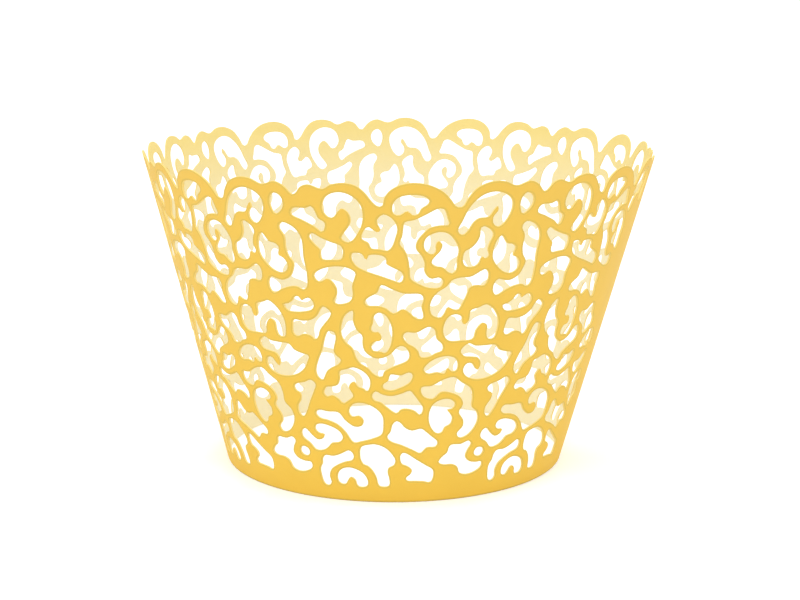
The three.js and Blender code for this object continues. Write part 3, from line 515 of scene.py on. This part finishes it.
def card_loops():
    """The outer edge and every opening, each running with the card on its left."""
    outline = strip_outline()
    loops = [outline if area(outline) > 0 else outline[::-1]]
    return loops + [loop if area(loop) < 0 else loop[::-1] for loop in strip_openings()]


def starts(loops):
    """The number of each loop's first point, when the loops' points are counted in one row."""
    return np.concatenate([[0], np.cumsum([len(loop) for loop in loops])[:-1]])


def split(rows, loops):
    """Rows that hold a value for each point, cut up into one part for each loop."""
    return [rows[start:start + len(loop)] for start, loop in zip(starts(loops), loops)]


def into_card(loop):
    """Unit directions at each point of a loop, square to it and into the card on its left."""
    before = loop - np.roll(loop, 1, axis=0)
    after = np.roll(loop, -1, axis=0) - loop
    before /= np.linalg.norm(before, axis=1, keepdims=True)
    after /= np.linalg.norm(after, axis=1, keepdims=True)
    along = before + after
    along /= np.maximum(np.linalg.norm(along, axis=1, keepdims=True), TINY)
    return np.stack([-along[:, 1], along[:, 0]], axis=1)


def line_reach(loops, inward):
    """How far the pressed line, painted darker as edge shade, reaches into the card at each point:
    less on thin strands.
    """
    edge = np.vstack(loops)
    steps = [np.roll(loop, -1, axis=0) - loop for loop in loops]
    dense = np.vstack([
        loop + step * share / EDGE_DIVISIONS
        for loop, step in zip(loops, steps) for share in range(EDGE_DIVISIONS)
    ])
    nearest = KDTree(len(dense))
    for number, (x, y) in enumerate(dense.tolist()):
        nearest.insert((x, y, 0), number)
    nearest.balance()
    free = np.full(len(edge), LINE_TRIALS[0])
    clear = np.ones(len(edge), dtype=bool)
    for trial in LINE_TRIALS:
        away = [nearest.find((x, y, 0))[2] for x, y in (edge + inward * trial).tolist()]
        clear &= np.array(away) > CLEAR_SHARE * trial
        free[clear] = trial
    reach = []
    for row in split(free * LINE_SHARE, loops):
        low = np.minimum(np.minimum(np.roll(row, 1), np.roll(row, -1)), row)
        reach.append((np.roll(low, 1) + low + np.roll(low, -1)) / 3)
    return np.concatenate(reach)


# Rolling the card


def smooth(share):
    """A share from 0 to 1 that starts and ends level."""
    share = np.clip(share, 0, 1)
    return share * share * (3 - 2 * share)


def depth(x):
    """How far the card at x lies below the cone's outer layer: under the lap, and at the tongue."""
    run = smooth((x - SLIT_RIGHT - LAP_RUN_START) / (LAP_RUN_OUT - LAP_RUN_START))
    dip = smooth((x - OUTER_CELL - OUTER_END) / TONGUE_DIP)
    return LAYER * (1 - run) + 2 * LAYER * dip


def roll(flat, through):
    """Places in metres of flat points, at a depth through the card, on the leaning oval cone."""
    x, y = flat[:, 0], flat[:, 1]
    around = np.radians(FRONT_ARCH_ANGLE + (x - FRONT_ARCH_X) / DRAWN_REPEAT * REPEAT_ANGLE)
    angle = around + OVAL / 2 * np.sin(2 * around)
    share = y / DRAWN_SLANT
    surface = BASE_RADIUS + (TOP_RADIUS - BASE_RADIUS) * share
    radius = surface - depth(x) - through * SLANT / HEIGHT
    return np.stack([
        radius * np.sin(angle) * (1 - OVAL) + LEAN * (share - 1),
        -radius * np.cos(angle) * (1 + OVAL),
        HEIGHT * share,
    ], axis=1) * MM


def directions_at(flat):
    """Unit directions on the rolled card at flat points: outward, round and up the slant."""
    step = 0.01
    here = roll(flat, 0)
    around = roll(flat + (step, 0), 0) - here
    upward = roll(flat + (0, step), 0) - here
    outward = np.cross(around, upward)
    return [v / np.linalg.norm(v, axis=1, keepdims=True) for v in (outward, around, upward)]


# Triangulating the flat card


def triangles(loops, grid):
    """Triangles of the card between the loops, the first of which is the outer edge."""
    points = np.vstack(loops + [grid])
    owners = [np.full(len(loop), number) for number, loop in enumerate(loops)]
    owner = np.concatenate(owners + [np.full(len(grid), -1)])
    edges = []
    for first, loop in zip(starts(loops).tolist(), loops):
        count = len(loop)
        edges += [(first + i, first + (i + 1) % count) for i in range(count)]
    whole_hull = 0
    made = delaunay_2d_cdt(
        [Vector(p) for p in points.tolist()], edges, [], whole_hull, TINY, True
    )
    vertices, faces, origins = made[0], made[2], made[3]
    source = np.array([ids[0] if ids else -1 for ids in origins])
    if len(vertices) != len(points) or (source < 0).any():
        raise RuntimeError("two outlines of the ornament touch")
    faces = source[np.array(faces)]

    # Only a triangle with all its corners on one loop can lie outside the card
    same = (owner[faces] == owner[faces][:, :1]).all(axis=1) & (owner[faces[:, 0]] >= 0)
    middle = points[faces].mean(axis=1)
    keep = ~same
    for i, loop in enumerate(loops):
        mine = np.nonzero(same & (owner[faces[:, 0]] == i))[0]
        if len(mine):
            held = inside(loop, middle[mine])
            keep[mine] = held if i == 0 else ~held
    faces = faces[keep]
    a, b, c = points[faces[:, 0]], points[faces[:, 1]], points[faces[:, 2]]
    turn = (b - a)[:, 0] * (c - a)[:, 1] - (b - a)[:, 1] * (c - a)[:, 0]
    faces[turn < 0] = faces[turn < 0][:, ::-1]
    return faces


def inner_grid(loops):
    """Points in the wide parts of the card, clear of every outline, so that it rolls smoothly."""
    left = UNDER_LAP + INNER_END + GRID_FROM_END
    right = OUTER_CELL + OUTER_END + TONGUE_LENGTH
    xs = np.arange(left, right, GRID_STEP)
    ys = np.arange(GRID_FROM_BASE, DRAWN_SLANT, GRID_STEP)
    grid = np.stack(np.meshgrid(xs, ys), axis=-1).reshape(-1, 2)
    keep = inside(loops[0], grid)
    for loop in loops[1:]:
        low, high = loop.min(axis=0) - GRID_CLEARANCE, loop.max(axis=0) + GRID_CLEARANCE
        near = np.nonzero(keep & (grid >= low).all(axis=1) & (grid <= high).all(axis=1))[0]
        if len(near):
            keep[near] = ~inside(loop, grid[near]) & far_from(loop, grid[near])
    for start in range(0, len(grid), GRID_BATCH):
        part = slice(start, start + GRID_BATCH)
        keep[part] &= far_from(loops[0], grid[part])
    return grid[keep]


def far_from(loop, points):
    """Which of the points lie further than GRID_CLEARANCE from the loop's points."""
    gaps = np.linalg.norm(points[:, None] - loop[None], axis=2)
    return gaps.min(axis=1) > GRID_CLEARANCE


# The wrapper


def edge_rings(edge, inward, set_back):
    """Places and normals of every ring of the pressed edges."""
    outward, around, upward = directions_at(edge)
    away = -(around * inward[:, :1] + upward * inward[:, 1:])
    places, normals = [], []
    for back, (_, through, lean, _) in zip(set_back, EDGE_RINGS):
        places.append(roll(edge + inward * back[:, None], through))
        turned = math.radians(lean)
        normals.append(outward * math.cos(turned) + away * math.sin(turned))
    return places, normals


def edge_faces(loops):
    """Triangles between each ring and the next one, with their material slots."""
    here = np.arange(sum(len(loop) for loop in loops))
    count = len(here)
    following = np.concatenate([np.roll(row, -1) for row in split(here, loops)])
    faces, slots = [], []
    for ring, (_, _, _, slot) in enumerate(EDGE_RINGS[:-1]):
        a, b = here + ring * count, following + ring * count
        c, d = b + count, a + count
        faces += [np.stack([b, a, d], axis=1), np.stack([b, d, c], axis=1)]
        slots.append(np.full(2 * count, slot))
    return faces, slots


def build_wrapper():
    """The rolled card as one closed mesh, with pressed edges and a slot for each surface."""
    loops = card_loops()
    edge = np.vstack(loops)
    inward = np.vstack([into_card(loop) for loop in loops])
    count = len(edge)
    set_back = [np.full(count, back) for back, _, _, _ in EDGE_RINGS]
    set_back[0] = line_reach(loops, inward)
    front, rear = (split(edge + inward * set_back[ring][:, None], loops) for ring in (0, -1))
    grid = inner_grid(front)

    # Points in order: every ring of the edges, then the grid on the front, then on the back
    places, normals = edge_rings(edge, inward, set_back)
    outward, _, _ = directions_at(grid)
    places += [roll(grid, 0), roll(grid, CARD)]
    normals += [outward, -outward]
    last_ring = (len(EDGE_RINGS) - 1) * count
    front_grid = len(EDGE_RINGS) * count
    back_grid = front_grid + len(grid)

    skin, rear_skin = triangles(front, grid), triangles(rear, grid)[:, ::-1]
    front_faces = np.where(skin < count, skin, skin - count + front_grid)
    back_faces = np.where(rear_skin < count, rear_skin + last_ring, rear_skin - count + back_grid)
    side_faces, side_slots = edge_faces(loops)
    faces = np.vstack([front_faces, back_faces] + side_faces)
    slots = [np.full(len(front_faces), FACE), np.full(len(back_faces), BACK)] + side_slots

    mesh = bpy.data.meshes.new("card_wrapper")
    mesh.from_pydata(np.vstack(places).tolist(), [], faces.tolist())
    mesh.polygons.foreach_set("material_index", np.concatenate(slots).astype(np.int32))
    mesh.polygons.foreach_set("use_smooth", np.ones(len(faces), dtype=bool))
    mesh.update()
    mesh.normals_split_custom_set_from_vertices(np.vstack(normals).tolist())
    for name, (stops, roughness) in CARD_SURFACES.items():
        mesh.materials.append(card_material(name, stops, roughness))
    return add_object("card_wrapper", mesh)


def add_object(name, data):
    """A new object with the data, placed in the scene."""
    made = bpy.data.objects.new(name, data)
    bpy.context.scene.collection.objects.link(made)
    return made


# Materials


def add_node(nodes, kind, values):
    """A new node with constant values on its sockets."""
    node = nodes.new(kind)
    set_values(node, values)
    return node


def set_values(node, values):
    for socket, value in values.items():
        node.inputs[socket].default_value = value


def card_material(name, stops, roughness):
    """Satin card: its colour runs through the stops with height, with faint mottle and grain. Where
    the stops differ, the change with height is painted light and shade.
    """
    material = bpy.data.materials.new(name)
    material.use_nodes = True
    nodes, links = material.node_tree.nodes, material.node_tree.links
    shader = nodes["Principled BSDF"]
    set_values(shader, {"Roughness": roughness, "Specular IOR Level": CARD_SPECULAR})
    coordinates = nodes.new("ShaderNodeTexCoord").outputs["Object"]

    height = nodes.new("ShaderNodeSeparateXYZ")
    links.new(coordinates, height.inputs[0])
    base = None
    for (low, colour), (high, next_colour) in zip(stops, stops[1:]):
        share = add_node(nodes, "ShaderNodeMapRange", {"From Min": low * MM, "From Max": high * MM})
        links.new(height.outputs["Z"], share.inputs["Value"])
        mix = nodes.new("ShaderNodeMix")
        mix.data_type = "RGBA"
        set_values(mix, {"A": linear(colour), "B": linear(next_colour)})
        links.new(share.outputs["Result"], mix.inputs["Factor"])
        if base:
            links.new(base, mix.inputs["A"])
        base = mix.outputs["Result"]

    mottle = add_node(nodes, "ShaderNodeTexNoise", {"Scale": MOTTLE_SCALE, "Detail": MOTTLE_DETAIL})
    links.new(coordinates, mottle.inputs["Vector"])
    tone = add_node(nodes, "ShaderNodeMapRange", {
        "To Min": 1 - MOTTLE_CONTRAST,
        "To Max": 1 + MOTTLE_CONTRAST,
    })
    links.new(mottle.outputs["Fac"], tone.inputs["Value"])
    toned = nodes.new("ShaderNodeVectorMath")
    toned.operation = "SCALE"
    links.new(base, toned.inputs[0])
    links.new(tone.outputs["Result"], toned.inputs["Scale"])
    links.new(toned.outputs["Vector"], shader.inputs["Base Color"])

    grain = add_node(nodes, "ShaderNodeTexNoise", {"Scale": GRAIN_SCALE, "Detail": GRAIN_DETAIL})
    links.new(coordinates, grain.inputs["Vector"])
    bump = add_node(nodes, "ShaderNodeBump", {"Strength": GRAIN_STRENGTH, "Distance": GRAIN_DEPTH})
    links.new(grain.outputs["Fac"], bump.inputs["Height"])
    links.new(bump.outputs["Normal"], shader.inputs["Normal"])
    return material


def linear(colour):
    """A colour as the photo shows it, 0 to 255, as Blender's linear colour."""
    shown = [value / 255 for value in colour]
    return [v / 12.92 if v <= 0.04045 else ((v + 0.055) / 1.055) ** 2.4 for v in shown] + [1.0]


# Floor, light and camera


def build_floor():
    """A large white floor that keeps the wrapper's shadow and shows white beyond it."""
    mesh = bpy.data.meshes.new("floor")
    corners = [(-1, -1), (1, -1), (1, 1), (-1, 1)]
    mesh.from_pydata([(x * FLOOR_HALF, y * FLOOR_HALF, 0) for x, y in corners], [], [(0, 1, 2, 3)])
    floor = add_object("floor", mesh)
    floor.location.z = -FLOOR_DROP
    material = bpy.data.materials.new("white_floor")
    material.use_nodes = True
    nodes, links = material.node_tree.nodes, material.node_tree.links
    shader = nodes["Principled BSDF"]
    set_values(shader, {
        "Base Color": (FLOOR_WHITE, FLOOR_WHITE, FLOOR_WHITE, 1),
        "Roughness": FLOOR_ROUGHNESS,
        "Specular IOR Level": FLOOR_SPECULAR,
    })
    seen = nodes.new("ShaderNodeLightPath")
    glow = nodes.new("ShaderNodeEmission")
    level = nodes.new("ShaderNodeMath")
    level.operation = "MULTIPLY"
    level.inputs[1].default_value = FLOOR_GLOW
    links.new(seen.outputs["Is Camera Ray"], level.inputs[0])
    links.new(level.outputs[0], glow.inputs["Strength"])
    both = nodes.new("ShaderNodeAddShader")
    links.new(shader.outputs[0], both.inputs[0])
    links.new(glow.outputs[0], both.inputs[1])
    links.new(both.outputs[0], nodes["Material Output"].inputs["Surface"])
    mesh.materials.append(material)
    return floor


def light_world(strength):
    """Soft light from all round, with a white background for the camera."""
    world = bpy.data.worlds.new("studio")
    bpy.context.scene.world = world
    world.use_nodes = True
    nodes, links = world.node_tree.nodes, world.node_tree.links
    background = nodes["Background"]
    background.inputs["Color"].default_value = (1, 1, 1, 1)
    seen = nodes.new("ShaderNodeLightPath")
    level = add_node(nodes, "ShaderNodeMapRange", {"To Min": strength, "To Max": 1.0})
    links.new(seen.outputs["Is Camera Ray"], level.inputs["Value"])
    links.new(level.outputs["Result"], background.inputs["Strength"])


def add_lamp(name, place, energy):
    """A square soft box that looks at the middle of the wrapper."""
    lamp = bpy.data.lights.new(name, "AREA")
    lamp.shape = "SQUARE"
    lamp.size = LAMP_SIZE
    lamp.energy = energy
    holder = add_object(name, lamp)
    holder.location = place
    aim = Vector((0, 0, HEIGHT * MM / 2)) - holder.location
    holder.rotation_euler = aim.to_track_quat("-Z", "Y").to_euler()


def build_camera():
    """The photo's camera, in front of the wrapper and a little above it."""
    pitch = math.radians(CAMERA_PITCH)
    data = bpy.data.cameras.new("camera")
    data.sensor_width = SENSOR_WIDTH
    data.lens = SENSOR_WIDTH * PIXELS_PER_FOCAL / PHOTO_WIDTH
    data.clip_start = CLIP_START
    data.clip_end = CLIP_END
    camera = add_object("camera", data)
    sight = Vector((0, math.cos(pitch), -math.sin(pitch)))
    camera.location = Vector(CAMERA_AIM) * MM - sight * (CAMERA_DISTANCE * MM)
    camera.rotation_euler = (math.pi / 2 - pitch, 0, 0)
    bpy.context.scene.camera = camera


bpy.context.scene.view_settings.view_transform = "Standard"
build_camera()

wrapper = build_wrapper()
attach(wrapper, "root")
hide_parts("wrapper")

build_floor()
light_world(WORLD_STRENGTH)
for name, (place, energy) in LAMPS.items():
    add_lamp(name, place, energy)
